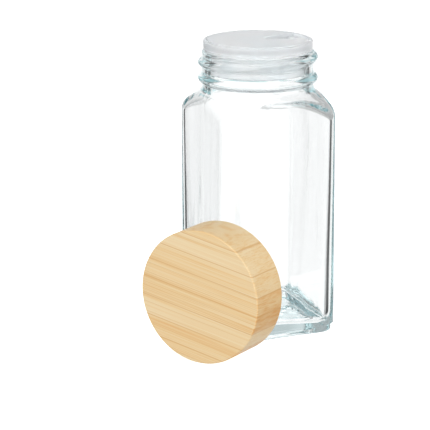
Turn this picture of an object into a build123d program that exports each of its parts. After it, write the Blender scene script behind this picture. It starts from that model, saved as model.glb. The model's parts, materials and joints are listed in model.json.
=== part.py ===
from build123d import *
from math import cos, hypot, radians, sin, sqrt, tan
import os

# A square glass spice jar with a two-piece shaker in its neck, and its bamboo screw cap taken off and
# stood on its rim beside the jar. Lengths are in millimetres, +Z is up, and the origin is on the jar's
# axis, in the plane that it stands on.
os.makedirs("parts", exist_ok=True)

# Glass body
jar_width = 44.5
jar_corner_radius = 6.5
side_wall = 2.4
floor_height = 7.0
floor_round = 4.0
inner_corner_radius = 4.6
foot_height = 3.0
foot_inset = 1.0
foot_round = 1.2
ledge_round = 0.3
push_up_depth = 0.8
push_up_inset = 5.0
push_up_draft_degrees = 30.0

# Shoulder, neck and rim of the glass
neck_diameter = 40.2
neck_bore = 35.4
rim_height = 101.7
rim_round = 0.8
neck_height = 13.9
shoulder_slope_degrees = 36.3
neck_root_round = 2.0
shoulder_round = 3.6
inner_shoulder_drop = 3.4
inner_root_round = 2.2
inner_shoulder_round = 2.4
shoulder_overrun = 1.5

# The ring under the thread, as wide as the thread itself
bead_diameter = 43.0
transfer_bead_drop = 9.9
transfer_bead_width = 3.2
bead_root_overlap = 0.4

# Shaker base, which plugs into the neck and rests on the rim
flange_diameter = 39.15
flange_height = 3.55
flange_wall = 1.2
flange_round = 0.3
flange_seat_gap = 0.1
deck_thickness = 1.2
plug_wall = 1.1
plug_depth = 8.0
plug_gap = 0.35
plug_lead_in = 0.5
plug_fin_count = 3
plug_fin_height = 0.7
plug_fin_gap = 0.15
plug_fin_spacing = 2.0
first_fin_drop = 1.6

# Openings in the deck: a pour slice at the front and a fan of sift holes opposite
pour_inner_radius = 5.0
pour_outer_radius = 16.0
pour_width_degrees = 40.0
pour_corner_round = 0.8
sift_hole_diameter = 3.0
sift_fan_degrees = 180.0
sift_inner_radius = 7.6
sift_outer_radius = 13.4
sift_inner_count = 3
sift_outer_count = 5
sift_outer_width_degrees = 120.0
sift_inner_width_degrees = 90.0

# Shaker dial, which lies in the flange and snaps into the deck's middle by a stud
dial_thickness = 1.3
dial_proud = 0.35
dial_edge_gap = 0.25
dial_deck_gap = 0.15
dial_round = 0.3
slice_width_degrees = 48.0
slice_turn_degrees = -5.0
slice_apex_radius = 2.6
slice_corner_round = 0.5
stud_radius = 1.7
stud_gap = 0.25
barb_overlap = 0.25
barb_length = 1.1
barb_tip_radius = 1.2

# Bamboo cap, turned from glued strips
cap_diameter = 47.46
cap_height = 16.5
cap_wall = 1.25
cap_top_thickness = 2.2
cap_edge_chamfer = 0.4
strip_width = 6.7
first_seam = -19.4
strip_count = 8
strip_tilt_degrees = -10.8

# Threaded liner and seal inside the cap
liner_glue_gap = 0.05
liner_wall = 0.8
liner_top_thickness = 1.0
liner_rim_inset = 0.5
seal_thickness = 1.0
seal_edge_gap = 0.3
seal_top_gap = 0.1

# Where the loose cap stands, and where its outer face looks
cap_stand_x = -32.5
cap_stand_y = -30.0
cap_facing_degrees = 212.6

# One overrun for every cut that has to pass a face
overrun = 2.0

# Sizes worked out from the ones above
corner_reach = (jar_width / 2 - jar_corner_radius) * sqrt(2) + jar_corner_radius
neck_radius = neck_diameter / 2
bore_radius = neck_bore / 2
shoulder_meets_neck = rim_height - neck_height
transfer_bead_height = rim_height - transfer_bead_drop
flange_radius = flange_diameter / 2
flange_seat = rim_height + flange_seat_gap
flange_top = flange_seat + flange_height
recess_radius = flange_radius - flange_wall
dial_top = flange_top + dial_proud
dial_bottom = dial_top - dial_thickness
deck_top = dial_bottom - dial_deck_gap
deck_bottom = deck_top - deck_thickness
stud_hole_radius = stud_radius + stud_gap
cap_radius = cap_diameter / 2
cap_inner_radius = cap_radius - cap_wall
liner_radius = cap_inner_radius - liner_glue_gap
liner_top = cap_height - cap_top_thickness - liner_glue_gap


def square_prism(width, corner_radius, low, high):
    """An upright prism with a rounded square section, centred on the jar's axis."""
    section = Plane.XY.offset(low) * RectangleRounded(width, width, corner_radius)
    return extrude(section, high - low)


def turned(*outline):
    """Revolves a half section with straight sides, given as pairs of radius and height."""
    points = [(radius, 0, height) for radius, height in outline]
    return revolve(make_face(Polyline(*points, close=True)), Axis.Z)


def sloping_blank(top_radius, meeting_height):
    """A round blank whose side slopes from the neck's radius out past the jar's corners."""
    foot_radius = corner_reach + shoulder_overrun
    foot_height = meeting_height - (foot_radius - top_radius) * tan(radians(shoulder_slope_degrees))
    return turned(
        (0, 0),
        (foot_radius, 0),
        (foot_radius, foot_height),
        (top_radius, meeting_height),
        (top_radius, rim_height),
        (0, rim_height),
    )


def edges_at(solid, radius, height):
    """The edges whose middle lies on a given circle about the jar's axis."""
    near = jar_corner_radius / 100
    middles = [(edge, edge @ 0.5) for edge in solid.edges()]
    return [
        edge
        for edge, middle in middles
        if abs(hypot(middle.X, middle.Y) - radius) < near and abs(middle.Z - height) < near
    ]


def shoulder_edges(solid):
    """The curved edges where the sloping shoulder meets the upright sides."""
    near = jar_corner_radius / 100
    boxes = [(edge, edge.bounding_box()) for edge in solid.edges()]
    return [
        edge
        for edge, box in boxes
        if edge.geom_type != GeomType.LINE and box.size.Z > near and box.min.Z > rim_height / 2
    ]


def hollow():
    """The space inside the glass: a smaller square prism with its own shoulder, floor and bore."""
    meeting_height = shoulder_meets_neck - inner_shoulder_drop
    space = square_prism(jar_width - 2 * side_wall, inner_corner_radius, floor_height, rim_height)
    space &= sloping_blank(bore_radius, meeting_height)
    space = fillet(edges_at(space, bore_radius, meeting_height), inner_root_round)
    space = fillet(shoulder_edges(space), inner_shoulder_round)
    return fillet(space.edges().group_by(Axis.Z)[0], floor_round)


def transfer_bead():
    """The round ring that runs level round the neck under the thread."""
    half = transfer_bead_width / 2
    low, high = transfer_bead_height - half, transfer_bead_height + half
    buried = neck_radius - bead_root_overlap
    crest = ThreePointArc(
        (neck_radius, 0, low), (bead_diameter / 2, 0, transfer_bead_height), (neck_radius, 0, high)
    )
    back = Polyline((neck_radius, 0, high), (buried, 0, high), (buried, 0, low), (neck_radius, 0, low))
    return revolve(make_face(Wire([*crest.edges(), *back.edges()])), Axis.Z)


def foot():
    """The base block under the body, set in all round by a small ledge and rounded below."""
    block = square_prism(
        jar_width - 2 * foot_inset, jar_corner_radius - foot_inset, 0, foot_height + ledge_round
    )
    return fillet(block.faces().sort_by(Axis.Z)[0].edges(), foot_round)


def glass_jar():
    """The blown glass: a square body trimmed by a turned shoulder, hollow to the mouth, dished below."""
    glass = square_prism(jar_width, jar_corner_radius, foot_height, rim_height)
    glass &= sloping_blank(neck_radius, shoulder_meets_neck)
    glass = fillet(edges_at(glass, neck_radius, shoulder_meets_neck), neck_root_round)
    glass = fillet(shoulder_edges(glass), shoulder_round)
    glass = fillet(glass.faces().sort_by(Axis.Z)[0].edges(), ledge_round)
    glass = fillet(edges_at(glass, neck_radius, rim_height), rim_round)
    glass += foot()

    glass -= hollow()
    glass = fillet(edges_at(glass, bore_radius, rim_height), rim_round)
    dish_width = jar_width - 2 * (foot_inset + push_up_inset)
    dish = RectangleRounded(dish_width, dish_width, jar_corner_radius)
    glass -= extrude(dish, push_up_depth, taper=push_up_draft_degrees)
    return glass + transfer_bead()


def around(radius, degrees):
    """A point on a circle about the Z axis."""
    return (radius * cos(radians(degrees)), radius * sin(radians(degrees)))


def slice_face(inner_radius, outer_radius, width_degrees, corner_round):
    """A slice of a ring with rounded corners, centred on the X axis."""
    half = width_degrees / 2
    outline = Wire(
        [
            *Line(around(inner_radius, -half), around(outer_radius, -half)).edges(),
            *ThreePointArc(
                around(outer_radius, -half), around(outer_radius, 0), around(outer_radius, half)
            ).edges(),
            *Line(around(outer_radius, half), around(inner_radius, half)).edges(),
            *ThreePointArc(
                around(inner_radius, half), around(inner_radius, 0), around(inner_radius, -half)
            ).edges(),
        ]
    )
    face = make_face(outline)
    return fillet(face.vertices(), corner_round)


def sift_places():
    """The hole centres: a few on an inner arc, more on an outer arc, both opposite the pour slice."""
    rings = [
        (sift_inner_radius, sift_inner_count, sift_inner_width_degrees),
        (sift_outer_radius, sift_outer_count, sift_outer_width_degrees),
    ]
    for radius, count, width in rings:
        for index in range(count):
            yield around(radius, sift_fan_degrees + width * (index / (count - 1) - 1 / 2))


def plug_fins(plug_radius):
    """The soft rings on the plug that grip the glass."""
    fin_radius = bore_radius - plug_fin_gap
    root_radius = plug_radius - plug_wall / 2
    half = plug_fin_height / 2
    for index in range(plug_fin_count):
        middle = rim_height - first_fin_drop - index * plug_fin_spacing
        yield turned(
            (root_radius, middle - half),
            (plug_radius, middle - half),
            (fin_radius, middle),
            (plug_radius, middle + half),
            (root_radius, middle + half),
        )


def shaker_base():
    """The moulded insert: flange, deck and plug turned as one section, then pierced."""
    plug_radius = bore_radius - plug_gap
    plug_bottom = rim_height - plug_depth
    insert = turned(
        (recess_radius, flange_seat),
        (flange_radius, flange_seat),
        (flange_radius, flange_top),
        (recess_radius, flange_top),
        (recess_radius, deck_top),
        (0, deck_top),
        (0, deck_bottom),
        (plug_radius - plug_wall, deck_bottom),
        (plug_radius - plug_wall, plug_bottom),
        (plug_radius - plug_lead_in, plug_bottom),
        (plug_radius, plug_bottom + plug_lead_in),
        (plug_radius, deck_bottom),
        (recess_radius, deck_bottom),
    )
    insert = fillet(edges_at(insert, flange_radius, flange_top), flange_round)
    for fin in plug_fins(plug_radius):
        insert += fin
    floor = Plane.XY.offset(deck_bottom - overrun)
    holes = slice_face(pour_inner_radius, pour_outer_radius, pour_width_degrees, pour_corner_round)
    holes += Circle(stud_hole_radius)
    for place in sift_places():
        holes += Pos(*place) * Circle(sift_hole_diameter / 2)
    return insert - extrude(floor * holes, deck_thickness + 2 * overrun)


def shaker_dial():
    """The turning disc with its snap stud, and the slice that opens the deck below it."""
    dial_radius = recess_radius - dial_edge_gap
    barb_top = deck_bottom - dial_deck_gap
    barb_bottom = barb_top - barb_length
    disc = turned(
        (0, dial_top),
        (dial_radius, dial_top),
        (dial_radius, dial_bottom),
        (stud_radius, dial_bottom),
        (stud_radius, barb_top),
        (stud_hole_radius + barb_overlap, barb_top),
        (barb_tip_radius, barb_bottom),
        (0, barb_bottom),
    )
    opening = slice_face(slice_apex_radius, flange_radius, slice_width_degrees, slice_corner_round)
    cutter = extrude(Plane.XY.offset(dial_bottom - dial_deck_gap) * opening, dial_thickness + overrun)
    disc -= Rot(0, 0, slice_turn_degrees) * cutter
    top = disc.faces().sort_by(Axis.Z)[-1]
    return fillet(top.edges(), dial_round)


def cap_shell():
    """The whole turned bamboo cap in its own frame: open end at zero height, outer face up."""
    crown = cap_height - cap_top_thickness
    rim = cap_radius - cap_edge_chamfer
    return turned(
        (cap_inner_radius, 0),
        (rim, 0),
        (cap_radius, cap_edge_chamfer),
        (cap_radius, cap_height - cap_edge_chamfer),
        (rim, cap_height),
        (0, cap_height),
        (0, crown),
        (cap_inner_radius, crown),
    )


def bamboo_strips():
    """The cap's strips: the turned shell parted at each glue line."""
    shell = cap_shell()
    seams = [first_seam + strip_width * index for index in range(strip_count - 1)]
    sides = [-cap_radius - overrun, *seams, cap_radius + overrun]
    for low, high in zip(sides, sides[1:]):
        slab = Pos(0, (low + high) / 2, cap_height / 2) * Box(
            cap_diameter + overrun, high - low, cap_height + overrun
        )
        yield shell & (Rot(0, 0, strip_tilt_degrees) * slab)


def thread_liner():
    """The plastic cup glued into the bamboo."""
    inner_radius = liner_radius - liner_wall
    crown = liner_top - liner_top_thickness
    return turned(
        (inner_radius, liner_rim_inset),
        (liner_radius, liner_rim_inset),
        (liner_radius, liner_top),
        (0, liner_top),
        (0, crown),
        (inner_radius, crown),
    )


def cap_seal():
    """The disc that closes on the shaker when the cap is screwed down."""
    seal_top = liner_top - liner_top_thickness - seal_top_gap
    disc = Cylinder(liner_radius - liner_wall - seal_edge_gap, seal_thickness)
    return Pos(0, 0, seal_top - seal_thickness / 2) * disc


def standing_cap():
    """Where the cap's own frame lies: on its side, its outer face looking away from the jar."""
    facing = Vector(*around(1, cap_facing_degrees), 0)
    middle = Vector(cap_stand_x, cap_stand_y, cap_radius)
    along_face = Vector(0, 0, 1).cross(facing)
    return Plane(origin=middle - facing * (cap_height / 2), x_dir=along_face, z_dir=facing)


nodes = {
    "glass_jar": glass_jar(),
    "shaker_base": shaker_base(),
    "shaker_dial": shaker_dial(),
}
cap_place = standing_cap().location
for number, strip in enumerate(bamboo_strips(), start=1):
    nodes[f"bamboo_strip_{number}"] = cap_place * strip
nodes["thread_liner"] = cap_place * thread_liner()
nodes["cap_seal"] = cap_place * cap_seal()

for name, solid in nodes.items():
    export_step(solid, f"parts/{name}.step")
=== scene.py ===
import json
from math import atan2, cos, pi, radians, sin, sqrt, tan

import bmesh
import bpy
from mathutils import Matrix, Vector, noise


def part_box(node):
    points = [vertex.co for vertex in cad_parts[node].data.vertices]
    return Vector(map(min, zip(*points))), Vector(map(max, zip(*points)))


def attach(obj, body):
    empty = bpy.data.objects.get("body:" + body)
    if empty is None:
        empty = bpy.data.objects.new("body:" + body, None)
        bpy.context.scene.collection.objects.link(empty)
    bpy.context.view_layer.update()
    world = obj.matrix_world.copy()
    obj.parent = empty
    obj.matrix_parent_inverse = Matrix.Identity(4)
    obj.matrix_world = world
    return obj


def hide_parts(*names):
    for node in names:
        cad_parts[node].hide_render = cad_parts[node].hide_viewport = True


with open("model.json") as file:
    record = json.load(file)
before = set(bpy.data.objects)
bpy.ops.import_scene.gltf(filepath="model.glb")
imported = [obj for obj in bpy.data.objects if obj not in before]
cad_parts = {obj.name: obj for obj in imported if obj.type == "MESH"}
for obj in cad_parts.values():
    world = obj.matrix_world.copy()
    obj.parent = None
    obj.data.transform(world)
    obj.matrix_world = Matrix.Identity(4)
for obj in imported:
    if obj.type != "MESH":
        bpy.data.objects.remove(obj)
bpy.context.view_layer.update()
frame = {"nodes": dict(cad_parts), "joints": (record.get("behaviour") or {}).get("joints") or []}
mm = 0.001

# The jar is one piece of soda-lime glass, blown in a square mould whose neck ring forms the screw thread and
# the round ring under it. The glass is thickest, and shows its green-blue, in the foot and at the corners.
jar_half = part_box("glass_jar")[1].x
rim_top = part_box("glass_jar")[1].z
corner_round = 6.5 * mm
wall = 2.4 * mm
inside_corner_round = 4.1 * mm
inside_softening = radians(2)
floor_height = 7.0 * mm
floor_round = 4.0 * mm
foot_height = 3.0 * mm
foot_inset = 1.0 * mm
foot_round = 1.2 * mm
foot_step_round = 0.2 * mm
ledge_round = 0.3 * mm
dish_inset = 6.0 * mm
dish_depth = 0.8 * mm
dish_draft = 0.46 * mm
dish_edge_round = 0.3 * mm
neck_radius = 20.1 * mm
bore_radius = 17.7 * mm
rim_round = 0.8 * mm
neck_height = 13.9 * mm
inner_shoulder_drop = 1.9 * mm
shoulder_slope = radians(36.3)
shoulder_round = 6.0 * mm
neck_root_round = 2.0 * mm
inner_shoulder_round = 4.6 * mm
inner_root_round = 4.4 * mm

# The thread rises to the right as it passes the front, and both its ends run out behind.
bead_height = 1.4 * mm
bead_half_width = 1.75 * mm
bead_roundness = 0.9
ring_drop = 9.9 * mm
thread_drop_at_front = 3.35 * mm
thread_pitch = 3.9 * mm
thread_front = radians(-116.1)
thread_before_front = radians(215)
thread_after_front = radians(135)
thread_run_out = radians(35)
bare_neck_foot = 0.5 * mm

# Blown glass is never even: it ripples faintly inside, its floor leans, and its corners differ. A corner's
# row gives its direction, how far round it reaches, and its extra glass at the shoulder and at the floor.
# Just under the bore, and in the middle of the floor, the inside is still even.
ripple_depth = 0.10 * mm
ripple_turns = 5.0
ripple_length = 45 * mm
uneven_corners = (
    (radians(135), radians(25), -0.6 * mm, 0.9 * mm),
    (radians(-45), radians(25), -0.6 * mm, 0.6 * mm),
    (radians(-135), radians(12), 1.2 * mm, 1.2 * mm),
)
even_under_bore = 6 * mm
even_floor_radius = jar_half / 2
floor_lean = 0.17
floor_lean_turn = radians(119)
floor_lean_fade = 25 * mm

# The sections crowd together towards the corners, and two roundings share the run between them.
ring_count = 256
corner_crowding = 0.12
arc_steps = 6
shared_run = 0.96
sharing_power = 4
hairline = 1e-9


def moulded_reach(angle, half, corner):
    """How far a square outline with rounded corners lies from its middle, in a given direction."""
    folded = abs((angle + pi / 4) % (pi / 2) - pi / 4)
    straight = half - corner
    if half * tan(folded) <= straight:
        return half / cos(folded)
    middle = straight * sqrt(2)
    off = pi / 4 - folded
    return middle * cos(off) + sqrt(corner**2 - (middle * sin(off)) ** 2)


def blown_reach(angle, half):
    """The same for the inside, where the glass flowed and no straight side ends abruptly."""
    nearby = [angle + inside_softening * step / 2 for step in range(-2, 3)]
    return sum(moulded_reach(turn, half, inside_corner_round) for turn in nearby) / len(nearby)


def rounded_section(corners):
    """A half section through corners given as radius, height, rounding and the steps of the run after it."""
    points = [Vector(corner[:2]) for corner in corners]
    wanted = [0.0]
    for before, here, after, corner in zip(points, points[1:], points[2:], corners[1:]):
        wanted.append(corner[2] * tan((here - before).angle(after - here) / 2))
    wanted.append(0.0)
    cut_in, cut_out = wanted[:], wanted[:]
    for index, (start, end) in enumerate(zip(points, points[1:])):
        share = shared_run * (end - start).length / max(wanted[index] + wanted[index + 1], hairline)
        share = share / (1 + share**sharing_power) ** (1 / sharing_power)
        cut_out[index] *= share
        cut_in[index + 1] *= share
    section = [points[0]]
    for index in range(1, len(points)):
        here = points[index]
        arc_start = here.lerp(points[index - 1], cut_in[index] / (points[index - 1] - here).length)
        run_start = section[-1]
        steps = corners[index - 1][3]
        section += [run_start.lerp(arc_start, step / steps) for step in range(1, steps + 1)]
        if index + 1 < len(points):
            arc_end = here.lerp(points[index + 1], cut_out[index] / (points[index + 1] - here).length)
            for step in range(1, arc_steps + 1):
                share = step / arc_steps
                first = arc_start.lerp(here, share)
                section.append(first.lerp(here.lerp(arc_end, share), share))
    return section


def bead_profile(offset):
    """How far a bead stands out of the neck at this distance above or below its middle."""
    share = min(1.0, abs(offset) / bead_half_width)
    return bead_height * (1 - share**2) ** bead_roundness


def neck_relief(angle, height):
    """The thread and the ring under it, as a height above the plain neck."""
    relief = bead_profile(height - (rim_top - ring_drop))
    for turn in (-1, 0, 1):
        along = angle + 2 * pi * turn - thread_front
        to_end = min(along + thread_before_front, thread_after_front - along)
        if to_end > 0:
            fade = min(1.0, to_end / thread_run_out)
            middle = rim_top - thread_drop_at_front + thread_pitch * along / (2 * pi)
            relief = max(relief, bead_profile(height - middle) * fade**2 * (3 - 2 * fade))
    return relief


def uneven_glass(angle, height):
    """How much thicker than its mould the wall is at this place."""
    around = Vector((cos(angle), sin(angle), 0)) * ripple_turns
    extra = ripple_depth * noise.noise(around + Vector((0, 0, height / ripple_length)))
    rise = height / (rim_top - neck_height)
    for corner, spread, extra_above, extra_below in uneven_corners:
        off = abs((angle - corner + pi) % (2 * pi) - pi) / spread
        extra += (extra_above * rise + extra_below * (1 - rise)) * max(0.0, 1 - off**2) ** 2
    return extra


def jar_section(angle):
    """The glass cut at this angle: from the dish up the outside, over the rim and down to the floor."""
    outside = moulded_reach(angle, jar_half, corner_round)
    inside = blown_reach(angle, jar_half - wall)
    foot = moulded_reach(angle, jar_half - foot_inset, corner_round - foot_inset)
    dish = moulded_reach(angle, jar_half - dish_inset, corner_round)
    neck_foot = rim_top - neck_height
    bore_foot = neck_foot - inner_shoulder_drop
    return rounded_section(
        [
            (0, dish_depth, 0, 6),
            (dish - dish_draft, dish_depth, dish_edge_round, 1),
            (dish, 0, dish_edge_round, 2),
            (foot, 0, foot_round, 1),
            (foot, foot_height, foot_step_round, 1),
            (outside, foot_height, ledge_round, 16),
            (outside, neck_foot - (outside - neck_radius) * tan(shoulder_slope), shoulder_round, 4),
            (neck_radius, neck_foot, neck_root_round, 64),
            (neck_radius, rim_top, rim_round, 1),
            (bore_radius, rim_top, rim_round, 10),
            (bore_radius, bore_foot, inner_root_round, 4),
            (inside, bore_foot - (inside - bore_radius) * tan(shoulder_slope), inner_shoulder_round, 40),
            (inside, floor_height, floor_round, 8),
            (0, floor_height, 0, 1),
        ]
    )


def shaped(point, angle, inner):
    """Adds the neck's relief to an outer point, or the glass's unevenness to an inner one."""
    radius, height = point
    if inner:
        drop = rim_top - neck_height - inner_shoulder_drop - height
        below_bore = min(1.0, max(0.0, drop / even_under_bore))
        off_middle = min(1.0, radius / even_floor_radius)
        radius -= uneven_glass(angle, height) * below_bore * off_middle
        lean = floor_lean * radius * cos(angle - floor_lean_turn)
        height += lean * max(0.0, 1 - (height - floor_height) / floor_lean_fade)
    elif height > rim_top - neck_height + bare_neck_foot:
        on_wall = min(1.0, max(0.0, (radius - neck_radius + rim_round) / rim_round))
        radius += neck_relief(angle, height) * on_wall
    return radius, height


def as_object(name, build):
    """Makes a finished bmesh an object of the scene."""
    mesh = bpy.data.meshes.new(name)
    build.to_mesh(mesh)
    build.free()
    made = bpy.data.objects.new(name, mesh)
    bpy.context.scene.collection.objects.link(made)
    return made


even_turns = [2 * pi * index / ring_count for index in range(ring_count)]
angles = [turn + corner_crowding * sin(4 * turn) for turn in even_turns]
sections = [jar_section(angle) for angle in angles]
level_count = len(sections[0])
highest = max(range(level_count), key=lambda level: (sections[0][level].y, -level))

# The skin grows ring by ring, from the dish's edge up the outside and down the inside to the floor, and a fan
# closes each end.
glass = bmesh.new()
ring = bmesh.ops.create_circle(glass, segments=ring_count, radius=jar_half)["verts"]
first_ring = ring
edges = glass.edges[:]
for level in range(1, level_count - 1):
    if level > 1:
        grown = bmesh.ops.extrude_edge_only(glass, edges=edges)["geom"]
        ring = [item for item in grown if isinstance(item, bmesh.types.BMVert)]
        edges = [item for item in grown if isinstance(item, bmesh.types.BMEdge)]
    for vert, angle, section in zip(ring, angles, sections):
        radius, height = shaped(section[level], angle, level > highest)
        vert.co = (radius * cos(angle), radius * sin(angle), height)
for loop, height in ((set(first_ring), dish_depth), (set(ring), floor_height)):
    rim_edges = [edge for edge in glass.edges if edge.is_boundary and edge.verts[0] in loop]
    capped = bmesh.ops.extrude_edge_only(glass, edges=rim_edges)["geom"]
    centre = [item for item in capped if isinstance(item, bmesh.types.BMVert)]
    bmesh.ops.pointmerge(glass, verts=centre, merge_co=(0, 0, height))
bmesh.ops.recalc_face_normals(glass, faces=glass.faces)
for face in glass.faces:
    face.smooth = True
glass_body = as_object("glass_body", glass)


def add_node(tree, kind, inputs=None, **settings):
    """Adds a shader node with its settings, and inputs given as values or as sockets to link."""
    made = tree.nodes.new("ShaderNode" + kind)
    for name, value in settings.items():
        setattr(made, name, value)
    for name, value in (inputs or {}).items():
        if isinstance(value, bpy.types.NodeSocket):
            tree.links.new(value, made.inputs[name])
        else:
            made.inputs[name].default_value = value
    return made


def curve_between(tree, value, low, high, to_low=0.0, to_high=1.0):
    """A smooth step of a value between two levels."""
    made = add_node(
        tree,
        "MapRange",
        {"Value": value, "From Min": low, "From Max": high, "To Min": to_low, "To Max": to_high},
        interpolation_type="SMOOTHSTEP",
    )
    return made.outputs["Result"]


def bumped(tree, height, strength, distance):
    """The surface's direction once this height is pressed into it."""
    made = add_node(tree, "Bump", {"Height": height, "Strength": strength, "Distance": distance})
    return made.outputs["Normal"]


def new_material(name):
    """An empty material, with its node tree and output."""
    material = bpy.data.materials.new(name)
    material.use_nodes = True
    tree = material.node_tree
    tree.nodes.clear()
    return material, tree, add_node(tree, "OutputMaterial")


def add_surface(tree, output, inputs):
    """Adds the main shader with its inputs, and joins it to the output."""
    shader = add_node(tree, "BsdfPrincipled", inputs)
    tree.links.new(shader.outputs["BSDF"], output.inputs["Surface"])


# The streaks are drawn out down the jar. Each bends the light and is painted a little darker, as painted
# shade.
streak_scale = (190.0, 190.0, 22.0)
streak_edges = (0.52, 0.70)

glass_look, tree, output = new_material("blown_glass")
place = add_node(tree, "TexCoord").outputs["Object"]
drawn_out = add_node(tree, "VectorMath", {0: place, 1: streak_scale}, operation="MULTIPLY")
streak_noise = add_node(tree, "TexNoise", {"Vector": drawn_out.outputs[0], "Scale": 1.0, "Detail": 1.0})
streaks_bent_and_painted_shade = curve_between(tree, streak_noise.outputs["Fac"], *streak_edges)
# Painted shade: the glass is a little darker in the streaks, for the grey that their bending of the light
# shows.
painted_streak_shade = add_node(tree, "MapRange", {"Value": streaks_bent_and_painted_shade, "To Min": 1.0, "To Max": 0.93})
add_surface(
    tree,
    output,
    {
        "Base Color": painted_streak_shade.outputs["Result"],
        "Roughness": 0.0,
        "IOR": 1.5,
        "Transmission Weight": 1.0,
        "Normal": bumped(tree, streaks_bent_and_painted_shade, 1.0, 0.05 * mm),
    },
)
tint = add_node(tree, "VolumeAbsorption", {"Color": (0.05, 0.47, 0.52, 1), "Density": 8.4})
tree.links.new(tint.outputs["Volume"], output.inputs["Volume"])
glass_body.data.materials.append(glass_look)
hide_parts("glass_jar")
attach(glass_body, "jar")

# The shaker is moulded in milky polypropylene, thin enough to glow where light comes through from below. The
# base presses into the neck and the dial snaps into it. The flow of the plastic leaves it a little uneven.
flow_scale = 110.0
flow_edges = (0.35, 0.65)
satin_start = rim_top
satin_full = rim_top + 1.0 * mm


def new_group(name, sockets_in, sockets_out):
    """An empty node group with these sockets, and the nodes that bring values in and out."""
    group = bpy.data.node_groups.new(name, "ShaderNodeTree")
    for way, sockets in (("INPUT", sockets_in), ("OUTPUT", sockets_out)):
        for socket_name, kind in sockets.items():
            group.interface.new_socket(socket_name, in_out=way, socket_type="NodeSocket" + kind)
    return group, group.nodes.new("NodeGroupInput"), group.nodes.new("NodeGroupOutput")


def with_material(name, material):
    """The CAD piece of this name, with this material in place of its own."""
    piece = frame["nodes"][name]
    piece.data.materials.clear()
    piece.data.materials.append(material)
    return piece


moulded_skin, given, result = new_group(
    "moulded_skin",
    {"Place": "Vector", "Fineness": "Float", "Thin Color": "Color", "Thick Color": "Color"},
    {"Color": "Color", "Grain": "Float"},
)
tree = moulded_skin
grain_noise = add_node(
    tree, "TexNoise", {"Vector": given.outputs["Place"], "Scale": given.outputs["Fineness"], "Detail": 2.0}
)
flow_noise = add_node(
    tree, "TexNoise", {"Vector": given.outputs["Place"], "Scale": flow_scale, "Detail": 1.0}
)
flow_share = add_node(
    tree,
    "MapRange",
    {"Value": flow_noise.outputs["Fac"], "From Min": flow_edges[0], "From Max": flow_edges[1]},
)
flow_color = add_node(
    tree,
    "Mix",
    {
        "Factor": flow_share.outputs["Result"],
        "A": given.outputs["Thin Color"],
        "B": given.outputs["Thick Color"],
    },
    data_type="RGBA",
)
tree.links.new(flow_color.outputs["Result"], result.inputs["Color"])
tree.links.new(grain_noise.outputs["Fac"], result.inputs["Grain"])

milky_look, tree, output = new_material("milky_plastic")
place = add_node(tree, "TexCoord").outputs["Object"]
skin = add_node(
    tree,
    "Group",
    {
        "Place": place,
        "Fineness": 900.0,
        "Thin Color": (0.925, 0.965, 0.985, 1),
        "Thick Color": (0.975, 0.985, 0.995, 1),
    },
    node_tree=moulded_skin,
)
height_now = add_node(tree, "SeparateXYZ", {0: place}).outputs["Z"]
satin_share = add_node(
    tree, "MapRange", {"Value": height_now, "From Min": satin_start, "From Max": satin_full}
)
satin_roughness = add_node(
    tree, "MapRange", {"Value": satin_share.outputs["Result"], "To Min": 0.10, "To Max": 0.30}
)
add_surface(
    tree,
    output,
    {
        "Base Color": skin.outputs["Color"],
        "Roughness": satin_roughness.outputs["Result"],
        "IOR": 1.49,
        "Transmission Weight": 0.52,
        "Normal": bumped(tree, skin.outputs["Grain"], 0.2, 0.02 * mm),
    },
)
for name in ("shaker_base", "shaker_dial"):
    shaker_part = with_material(name, milky_look)

# The cap is turned from a block of eight bamboo strips glued edge to edge. The long fibres show as lines on
# its face and as dots where the turned side cuts across them, and each strip has its own tone.
cap_turn = next(joint for joint in frame["joints"] if joint["name"] == "cap_turn")
facing = Vector(cap_turn["axis"])
cap_middle = Vector(cap_turn["pos_m"])
strip_tilt = radians(-10.8)
strip_width = 6.7 * mm
first_seam = -19.4 * mm
cap_radius = 23.73 * mm
face_tones = (0.45, 0.60, 0.25, 0.55, 0.50, 0.35, 0.25, 0.30)
side_tones = (0.20, 0.90, 0.40, 1.15, 0.92, 0.50, 0.35, 0.45)

# The pattern's cells are as long, wide and deep as this, and the shares say how strongly each part shows.
band_cell = (90 * mm, 1.9 * mm, 16 * mm)
streak_cell = (45 * mm, 0.34 * mm, 3.5 * mm)
bundle_cell = (120 * mm, 0.62 * mm, 0.62 * mm)
band_edges = (0.32, 0.68)
streak_edges = (0.35, 0.75)
bundle_edges = (0.16, 0.34, 1.0, 0.0)
tone_share = 0.50
band_share = 0.22
streak_share = 0.30
bundle_share = 0.28
seam_share = 0.5
seam_fade_start = 0.30 * mm
seam_fade_end = 0.05 * mm
side_fade_start = 0.35 * mm
side_fade_end = 0.15 * mm
pale_wood = (0.82, 0.66, 0.42, 1)
honey_wood = (0.78, 0.56, 0.29, 1)
deep_wood = (0.68, 0.34, 0.10, 1)
bundle_color = (0.58, 0.31, 0.10, 1)
glue_color = (0.58, 0.29, 0.08, 1)
least_roughness = 0.38
streak_roughness = 0.15
streak_height = 0.4
pattern_shift = 0.37

along_face = Vector((0, 0, 1)).cross(facing)
up_face = facing.cross(along_face)
grain = along_face * cos(strip_tilt) + up_face * sin(strip_tilt)
across = facing.cross(grain)
cap_frame = Matrix((grain, across, facing)).transposed()


def stretched(tree, place, cell):
    """A place measured in cells of this length, width and depth."""
    scale = tuple(1 / side for side in cell)
    return add_node(tree, "VectorMath", {0: place, 1: scale}, operation="MULTIPLY").outputs[0]


def maths(tree, operation, first, second=0.0):
    """One sum of two values."""
    return add_node(tree, "Math", {0: first, 1: second}, operation=operation).outputs[0]


def laid_over(tree, share, below, color):
    """A colour laid over another, by this share."""
    made = add_node(tree, "Mix", {"Factor": share, "A": below, "B": color}, data_type="RGBA")
    return made.outputs["Result"]


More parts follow.
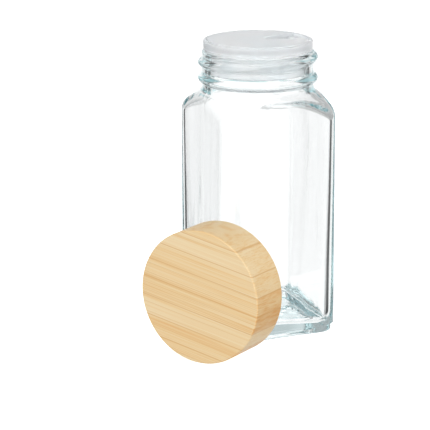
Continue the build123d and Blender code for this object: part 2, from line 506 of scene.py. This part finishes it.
bamboo_fibre, given, result = new_group(
    "bamboo_fibre",
    {"Place": "Vector", "Face Tone": "Float", "Side Tone": "Float", "Seed": "Float", "Strip Middle": "Float"},
    {"Color": "Color", "Roughness": "Float", "Height": "Float"},
)
tree = bamboo_fibre
shift = add_node(tree, "CombineXYZ", {"X": given.outputs["Seed"], "Z": given.outputs["Seed"]})
moved = add_node(tree, "VectorMath", {0: given.outputs["Place"], 1: shift.outputs[0]}, operation="ADD")
in_cells = [stretched(tree, moved.outputs[0], cell) for cell in (band_cell, streak_cell, bundle_cell)]
bands = add_node(tree, "TexNoise", {"Vector": in_cells[0], "Scale": 1.0, "Detail": 1.0})
streaks = add_node(tree, "TexNoise", {"Vector": in_cells[1], "Scale": 1.0, "Detail": 2.0})
bundles = add_node(tree, "TexVoronoi", {"Vector": in_cells[2], "Scale": 1.0, "Randomness": 0.7})
band_level = curve_between(tree, bands.outputs["Fac"], *band_edges)
streak_level = curve_between(tree, streaks.outputs["Fac"], *streak_edges)
bundle_level = curve_between(tree, bundles.outputs["Distance"], *bundle_edges)

in_strip = add_node(tree, "SeparateXYZ", {0: given.outputs["Place"]})
off_middle = maths(tree, "SUBTRACT", in_strip.outputs["Y"], given.outputs["Strip Middle"])
from_middle = maths(tree, "ABSOLUTE", off_middle)
half_strip = strip_width / 2
seam = curve_between(tree, from_middle, half_strip - seam_fade_start, half_strip - seam_fade_end)
flat_place = add_node(tree, "CombineXYZ", {"X": in_strip.outputs["X"], "Y": in_strip.outputs["Y"]})
from_axis = add_node(tree, "VectorMath", {0: flat_place.outputs[0]}, operation="LENGTH").outputs["Value"]
on_side = curve_between(tree, from_axis, cap_radius - side_fade_start, cap_radius - side_fade_end)
on_face = maths(tree, "SUBTRACT", 1.0, on_side)

tone_of_face = maths(tree, "MULTIPLY", given.outputs["Face Tone"], on_face)
tone_of_side = maths(tree, "MULTIPLY", given.outputs["Side Tone"], on_side)
from_tone = maths(tree, "MULTIPLY", maths(tree, "ADD", tone_of_face, tone_of_side), tone_share)
from_bands = maths(tree, "MULTIPLY", band_level, band_share)
from_streaks = maths(tree, "MULTIPLY", streak_level, streak_share)
depth_of_tone = maths(tree, "ADD", from_tone, maths(tree, "ADD", from_bands, from_streaks))
plain_wood = add_node(tree, "ValToRGB", {"Fac": depth_of_tone})
tones = plain_wood.color_ramp.elements
tones[0].position, tones[0].color = 0.1, pale_wood
tones[1].position, tones[1].color = 1.0, deep_wood
tones.new(0.5).color = honey_wood
bundle_here = maths(tree, "MULTIPLY", bundle_level, bundle_share)
with_bundles = laid_over(tree, bundle_here, plain_wood.outputs["Color"], bundle_color)
with_seam = laid_over(tree, maths(tree, "MULTIPLY", seam, seam_share), with_bundles, glue_color)
rougher = maths(tree, "MULTIPLY", streak_level, streak_roughness)
raised = maths(tree, "MULTIPLY", streak_level, streak_height)
sunk_in = maths(tree, "ADD", bundle_level, seam)
tree.links.new(with_seam, result.inputs["Color"])
tree.links.new(maths(tree, "ADD", least_roughness, rougher), result.inputs["Roughness"])
tree.links.new(maths(tree, "SUBTRACT", raised, sunk_in), result.inputs["Height"])

for number, (face_tone, side_tone) in enumerate(zip(face_tones, side_tones), start=1):
    bamboo_look, tree, output = new_material(f"bamboo_{number}")
    place = add_node(
        tree,
        "Mapping",
        {
            "Vector": add_node(tree, "TexCoord").outputs["Object"],
            "Location": cap_middle,
            "Rotation": cap_frame.to_euler(),
        },
        vector_type="TEXTURE",
    )
    fibre = add_node(
        tree,
        "Group",
        {
            "Place": place.outputs["Vector"],
            "Face Tone": face_tone,
            "Side Tone": side_tone,
            "Seed": pattern_shift * number,
            "Strip Middle": first_seam + strip_width * (number - 1.5),
        },
        node_tree=bamboo_fibre,
    )
    add_surface(
        tree,
        output,
        {
            "Base Color": fibre.outputs["Color"],
            "Roughness": fibre.outputs["Roughness"],
            "IOR": 1.48,
            "Normal": bumped(tree, fibre.outputs["Height"], 0.25, 0.05 * mm),
        },
    )
    strip = with_material(f"bamboo_strip_{number}", bamboo_look)

# The liner is an injection-moulded cup glued into the bamboo. The ridge inside it is the cap's screw thread:
# with the cap on, it lies under the jar's thread and draws the seal down on the shaker.
liner_bore = 21.63 * mm
cap_height = 16.5 * mm
ridge_height = 1.0 * mm
ridge_root = 0.3 * mm
ridge_half_width = 0.8 * mm
ridge_tip_half_width = 0.3 * mm
ridge_under_thread = 2.0 * mm
ridge_before_front = radians(125)
ridge_after_front = radians(130)
ridge_run_out = radians(25)
ridge_steps = 102
rim_in_cap = 8.15 * mm
jar_turn_in_cap = radians(67.2)

# The ridge's section is swept up a screw line, its two ends sink into the bore, and then the whole is laid
# into the cap where the cap stands.
ridge = bmesh.new()
ridge_drop = thread_drop_at_front + ridge_under_thread + thread_pitch * ridge_before_front / (2 * pi)
ridge_section = bmesh.ops.create_grid(ridge, x_segments=1, y_segments=1, size=ridge_half_width)["verts"]
for vert in ridge_section:
    at_root = vert.co.x > 0
    half_width = ridge_half_width if at_root else ridge_tip_half_width
    radius = liner_bore + ridge_root if at_root else liner_bore - ridge_height
    side = 1 if vert.co.y > 0 else -1
    vert.co = (radius, 0, rim_in_cap - ridge_drop + side * half_width)
bmesh.ops.rotate(ridge, verts=ridge.verts, matrix=Matrix.Rotation(-ridge_before_front, 3, "Z"))
ridge_sweep = ridge_before_front + ridge_after_front
rise_per_step = thread_pitch * ridge_sweep / (2 * pi) / ridge_steps
bmesh.ops.spin(
    ridge,
    geom=ridge.verts[:] + ridge.edges[:] + ridge.faces[:],
    axis=(0, 0, 1),
    angle=ridge_sweep,
    dvec=(0, 0, rise_per_step),
    steps=ridge_steps,
)
for vert in ridge.verts:
    around = Vector((vert.co.x, vert.co.y, 0))
    if around.length < liner_bore:
        along = max(-ridge_before_front, min(ridge_after_front, atan2(vert.co.y, vert.co.x)))
        to_end = min(along + ridge_before_front, ridge_after_front - along)
        sunk = (1 - min(1.0, to_end / ridge_run_out)) ** 2 * (ridge_height + ridge_root / 2)
        vert.co += around.normalized() * sunk
bmesh.ops.recalc_face_normals(ridge, faces=ridge.faces)
open_edge = cap_middle - facing * cap_height / 2
front_in_cap = thread_front + jar_turn_in_cap
in_cap = Matrix((along_face, up_face, facing)).transposed().to_4x4()
ridge.transform(Matrix.Translation(open_edge) @ in_cap @ Matrix.Rotation(front_in_cap, 4, "Z"))
liner_ridge = as_object("liner_screw_ridge", ridge)

liner_look, tree, output = new_material("moulded_liner")
skin = add_node(
    tree,
    "Group",
    {
        "Place": add_node(tree, "TexCoord").outputs["Object"],
        "Fineness": 500.0,
        "Thin Color": (0.83, 0.83, 0.81, 1),
        "Thick Color": (0.88, 0.88, 0.86, 1),
    },
    node_tree=moulded_skin,
)
moulded_roughness = add_node(
    tree, "MapRange", {"Value": skin.outputs["Grain"], "To Min": 0.25, "To Max": 0.4}
)
add_surface(
    tree, output, {"Base Color": skin.outputs["Color"], "Roughness": moulded_roughness.outputs["Result"]}
)
liner = with_material("thread_liner", liner_look)
liner_ridge.data.materials.append(liner_look)
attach(liner_ridge, "cap")

# The seal is a disc cut from foamed polyethylene sheet, which lies loose in the liner. Its fine cells show as
# shallow pits, with slightly darker walls between them.
pit_color = (0.94, 0.94, 0.91, 1)
cell_wall_color = (0.85, 0.85, 0.82, 1)

foam_look, tree, output = new_material("foam_sheet")
place = add_node(tree, "TexCoord").outputs["Object"]
cells = add_node(tree, "TexVoronoi", {"Vector": place, "Scale": 2500.0})
add_surface(
    tree,
    output,
    {
        "Base Color": laid_over(tree, cells.outputs["Distance"], pit_color, cell_wall_color),
        "Roughness": 0.8,
        "Normal": bumped(tree, cells.outputs["Distance"], 0.3, 0.05 * mm),
    },
)
seal = with_material("cap_seal", foam_look)

# The studio: a long lens a little above the jar, a wide pale floor, and a bright surround with dark cards to
# left and right, whose edges the glass picks up.
view_turn = radians(-26.1)
camera_distance = 868.4 * mm
camera_height = 264.4 * mm
camera_pitch = 0.252
camera_pan = 0.0178
camera_roll = -0.003
focal_pixels = 2474.2
image_side = 430
sensor_width = 36.0
nearest_seen = 50 * mm
farthest_seen = 50.0

camera_data = bpy.data.cameras.new("photo_camera")
camera_data.sensor_width = sensor_width
camera_data.lens = focal_pixels * sensor_width / image_side
camera_data.clip_start = nearest_seen
camera_data.clip_end = farthest_seen
camera = bpy.data.objects.new("photo_camera", camera_data)
bpy.context.scene.collection.objects.link(camera)
turn = Matrix.Rotation(view_turn, 4, "Z")
aim = Matrix.Rotation(camera_pan, 4, "Z") @ Matrix.Rotation(pi / 2 - camera_pitch, 4, "X")
place_of_camera = Matrix.Translation((0, -camera_distance, camera_height))
camera.matrix_world = turn @ place_of_camera @ aim @ Matrix.Rotation(camera_roll, 4, "Z")
bpy.context.scene.camera = camera

# The floor is a round of white paper with a glow of its own, which keeps it as white as the wall. Only the
# camera sees it, so that the glass and the shaker take their light from below as from the sides.
floor_radius = 4.0

floor_build = bmesh.new()
bmesh.ops.create_circle(floor_build, cap_ends=True, segments=128, radius=floor_radius)
floor = as_object("studio_floor", floor_build)
floor_look, tree, output = new_material("studio_floor")
paper = add_node(tree, "BsdfDiffuse", {"Color": (0.9, 0.9, 0.9, 1)})
glow = add_node(tree, "Emission", {"Color": (1, 1, 1, 1), "Strength": 0.8})
lit_paper = add_node(tree, "AddShader", {0: paper.outputs[0], 1: glow.outputs[0]})
tree.links.new(lit_paper.outputs[0], output.inputs["Surface"])
floor.data.materials.append(floor_look)
floor.visible_transmission = False
floor.visible_glossy = False
floor.visible_diffuse = False

# The surround, as soft edges: where each begins and ends, and the brightness before and after it. Turns are
# radians to the left of the view, their cosine falls from 1 ahead to -1 behind, and heights run from -1 to 1.
left_card_inner_edge = (0.44, 0.58, 0.0, 0.90)
left_card_outer_edge = (1.0, 1.3, 1.0, 0.0)
right_card_inner_edge = (-0.80, -0.62, 0.96, 0.0)
right_card_outer_edge = (-1.4, -1.1, 0.0, 1.0)
cards_top_edge = (0.0, 0.15, 1.0, 0.0)
cards_lower_edge = (-0.7, -0.45, 0.0, 1.0)
backdrop_edge = (0.82, 0.995, 0.92, 1.14)
behind_edge = (-0.7, -0.1, 1.55, 1.0)
horizon_edge = (0.0, 0.12, 0.0, 1.0)
upper_wall_edge = (0.0, 0.12, 0.8, 0.60)
ceiling_edge = (0.7, 0.95, 1.0, 3.0)
brighter_left_edge = (-0.35, 0.35, 0.79, 1.32)
far_left_edge = (0.5, 0.9, 1.0, 0.68)

# What the camera sees is even white. What falls on a matt piece differs by whether glass lies before it.
behind_all = 1.05
onto_open_matt = 0.62
onto_matt_through_glass = 1.95


def product(tree, first, *others):
    """Several values multiplied together."""
    for other in others:
        first = maths(tree, "MULTIPLY", first, other)
    return first


def one_or_other(tree, share, without, with_it):
    """One value where the share is 0, and the other where it is 1."""
    return add_node(tree, "Mix", {"Factor": share, "A": without, "B": with_it}).outputs["Result"]


world = bpy.data.worlds.new("studio")
bpy.context.scene.world = world
world.use_nodes = True
tree = world.node_tree
tree.nodes.clear()
output = add_node(tree, "OutputWorld")
rays = add_node(tree, "LightPath")
direction = add_node(tree, "SeparateXYZ", {0: add_node(tree, "TexCoord").outputs["Generated"]})
height = direction.outputs["Z"]
azimuth = maths(tree, "ARCTAN2", direction.outputs["Y"], direction.outputs["X"])
from_view = maths(tree, "SUBTRACT", azimuth, pi / 2 + view_turn)
ahead = maths(tree, "COSINE", from_view)

left_card = product(
    tree,
    curve_between(tree, from_view, *left_card_inner_edge),
    curve_between(tree, from_view, *left_card_outer_edge),
)
right_card = product(
    tree,
    curve_between(tree, from_view, *right_card_inner_edge),
    curve_between(tree, from_view, *right_card_outer_edge),
)
hidden = product(
    tree,
    maths(tree, "ADD", left_card, right_card),
    curve_between(tree, height, *cards_top_edge),
    curve_between(tree, height, *cards_lower_edge),
)
upper_room = product(
    tree,
    curve_between(tree, height, *upper_wall_edge),
    curve_between(tree, height, *ceiling_edge),
    curve_between(tree, from_view, *brighter_left_edge),
    curve_between(tree, from_view, *far_left_edge),
)
seen_in_glass = product(
    tree,
    curve_between(tree, ahead, *backdrop_edge),
    curve_between(tree, ahead, *behind_edge),
    one_or_other(tree, curve_between(tree, height, *horizon_edge), 1.0, upper_room),
    maths(tree, "SUBTRACT", 1.0, hidden),
)
off_matt = maths(tree, "GREATER_THAN", rays.outputs["Diffuse Depth"], 0.5)
onto_matt = one_or_other(tree, rays.outputs["Is Diffuse Ray"], onto_matt_through_glass, onto_open_matt)
for_light = one_or_other(tree, off_matt, seen_in_glass, onto_matt)
strength = one_or_other(tree, rays.outputs["Is Camera Ray"], for_light, behind_all)
background = add_node(tree, "Background", {"Color": (1, 1, 1, 1), "Strength": strength})
tree.links.new(background.outputs[0], output.inputs["Surface"])

# Three soft boxes light the matt pieces. The glass doesn't show them, so that only the surround draws in it.
lights_aim = Vector((0, 0, 50 * mm))


def soft_light(name, azimuth_degrees, height_degrees, distance, size, power):
    """A square soft box that looks at the jar's middle."""
    data = bpy.data.lights.new(name, "AREA")
    data.shape, data.size, data.energy = "SQUARE", size, power
    light = bpy.data.objects.new(name, data)
    bpy.context.scene.collection.objects.link(light)
    turn_angle, rise = radians(azimuth_degrees), radians(height_degrees)
    back = Vector((sin(turn_angle) * cos(rise), -cos(turn_angle) * cos(rise), sin(rise)))
    light.location = lights_aim + back * distance
    light.rotation_euler = back.to_track_quat("Z", "Y").to_euler()
    light.visible_glossy = False
    light.visible_transmission = False


soft_light("key_light", -50, 15, 1.0, 0.6, 3.85)
soft_light("fill_light", 25, 8, 1.2, 0.8, 5.2)
soft_light("top_light", 0, 80, 1.0, 0.8, 1.55)

# Glass upon glass needs many bounces before the light is out again.
most_bounces = 96

scene = bpy.context.scene
scene.view_settings.view_transform = "Standard"
scene.cycles.max_bounces = most_bounces
scene.cycles.transmission_bounces = most_bounces
scene.cycles.glossy_bounces = most_bounces
